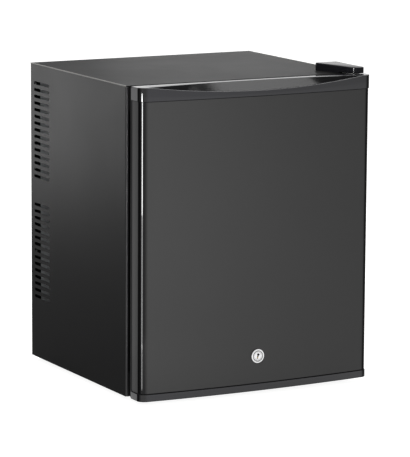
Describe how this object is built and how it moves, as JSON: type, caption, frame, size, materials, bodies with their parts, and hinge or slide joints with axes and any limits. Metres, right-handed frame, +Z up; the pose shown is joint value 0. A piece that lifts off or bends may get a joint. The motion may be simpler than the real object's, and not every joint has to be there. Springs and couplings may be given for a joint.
{
  "type": "minibar fridge",
  "caption": "Small free-standing thermoelectric minibar fridge with a bowed front door, a top finger grip, a key lock, side vents, a wire shelf and door racks.",
  "frame": {"origin": "Centre of the bounding box in plan, on the floor under the rubber feet.", "axes": "X runs to the hinge side at the right, Y runs from the door to the rear, Z is up."},
  "size_m": [0.4024, 0.4068, 0.498],
  "materials": {
    "cabinet_paint": "satin",
    "door_paint": "satin",
    "gloss_black": "gloss",
    "galvanised": "satin",
    "zinc_steel": "satin",
    "bright_chrome": "polished",
    "bare_aluminium": "mill",
    "white_plastic": "satin",
    "lamp_clear": "clear",
    "black_plastic": "matte",
    "natural_nylon": "matte",
    "black_rubber": "matte",
    "grey_seal": "matte",
    "rigid_foam": "matte",
    "white_ceramic": "matte",
    "dark_magnet": "matte",
    "green_board": "matte",
    "pin_brass": "bright",
    "white_wire": "gloss"
  },
  "bodies": {
    "cabinet": {"left_side_panel": "cabinet_paint", "right_side_panel": "cabinet_paint", "top_panel": "cabinet_paint", "base_pan": "cabinet_paint", "rear_bulkhead": "galvanised", "rear_cover": "galvanised", "rear_cover_screws": "zinc_steel", "feet": "black_rubber", "inner_liner": "white_plastic", "cabinet_foam": "rigid_foam", "lock_strike": "black_plastic", "reed_switch": "black_plastic", "peltier_module": "white_ceramic", "cold_block": "bare_aluminium", "cold_sink": "bare_aluminium", "hot_sink": "bare_aluminium", "sink_screws": "zinc_steel", "cold_fan_frame": "black_plastic", "hot_fan_frame": "black_plastic", "hot_fan_screws": "zinc_steel", "fan_cover": "white_plastic", "control_housing": "white_plastic", "thermostat_body": "black_plastic", "lamp_lens": "lamp_clear", "lamp_board": "green_board", "power_supply": "black_plastic", "mains_inlet": "black_plastic", "inlet_pins": "pin_brass", "supply_lead": "black_rubber", "fan_lead": "black_rubber", "top_hinge_leaf": "zinc_steel", "top_hinge_pin": "zinc_steel", "top_hinge_screws": "zinc_steel", "hinge_cover": "gloss_black", "bottom_hinge_bracket": "zinc_steel", "bottom_hinge_pin": "zinc_steel", "bottom_hinge_screws": "zinc_steel", "hinge_washer": "natural_nylon"},
    "door": {"door_skin": "door_paint", "door_top_cap": "gloss_black", "door_bottom_cap": "gloss_black", "door_foam": "rigid_foam", "door_liner": "white_plastic", "door_gasket": "grey_seal", "gasket_magnets": "dark_magnet", "door_magnet": "dark_magnet", "upper_hinge_bush": "natural_nylon", "lower_hinge_bush": "natural_nylon", "lock_barrel": "bright_chrome", "lock_nut": "zinc_steel"},
    "lock": {"lock_plug": "bright_chrome", "lock_cam": "zinc_steel", "lock_cam_screw": "zinc_steel"},
    "hot_fan": {"hot_fan_rotor": "black_plastic"},
    "cold_fan": {"cold_fan_rotor": "black_plastic"},
    "thermostat": {"thermostat_knob": "white_plastic", "thermostat_spindle": "natural_nylon"},
    "shelf": {"shelf": "white_wire"},
    "upper_rack": {"upper_rack": "white_plastic"},
    "lower_rack": {"lower_rack": "white_plastic"}
  },
  "joints": [
    {"name": "door_hinge", "type": "hinge", "parent": "cabinet", "child": "door", "pos_m": [0.189, -0.1634, 0], "axis": [0, 0, 1], "range_deg": [0, 115]},
    {"name": "lock_turn", "type": "hinge", "parent": "door", "child": "lock", "pos_m": [-0.004, -0.1994, 0.0645], "axis": [0, -1, 0], "range_deg": [0, 90]},
    {"name": "hot_fan_spin", "type": "hinge", "parent": "cabinet", "child": "hot_fan", "pos_m": [0, 0.1566, 0.351], "axis": [0, 1, 0], "continuous": true},
    {"name": "cold_fan_spin", "type": "hinge", "parent": "cabinet", "child": "cold_fan", "pos_m": [0, 0.0426, 0.351], "axis": [0, 1, 0], "continuous": true},
    {"name": "thermostat_turn", "type": "hinge", "parent": "cabinet", "child": "thermostat", "pos_m": [0.028, -0.0784, 0.432], "axis": [0, -1, 0], "range_deg": [0, 270]},
    {"name": "shelf_slide", "type": "slide", "parent": "cabinet", "child": "shelf", "axis": [0, -1, 0], "range_m": [0, 0.025]},
    {"name": "upper_rack_lift", "type": "slide", "parent": "door", "child": "upper_rack", "axis": [0, 0, 1], "range_m": [0, 0.025]},
    {"name": "lower_rack_lift", "type": "slide", "parent": "door", "child": "lower_rack", "axis": [0, 0, 1], "range_m": [0, 0.025]}
  ]
}
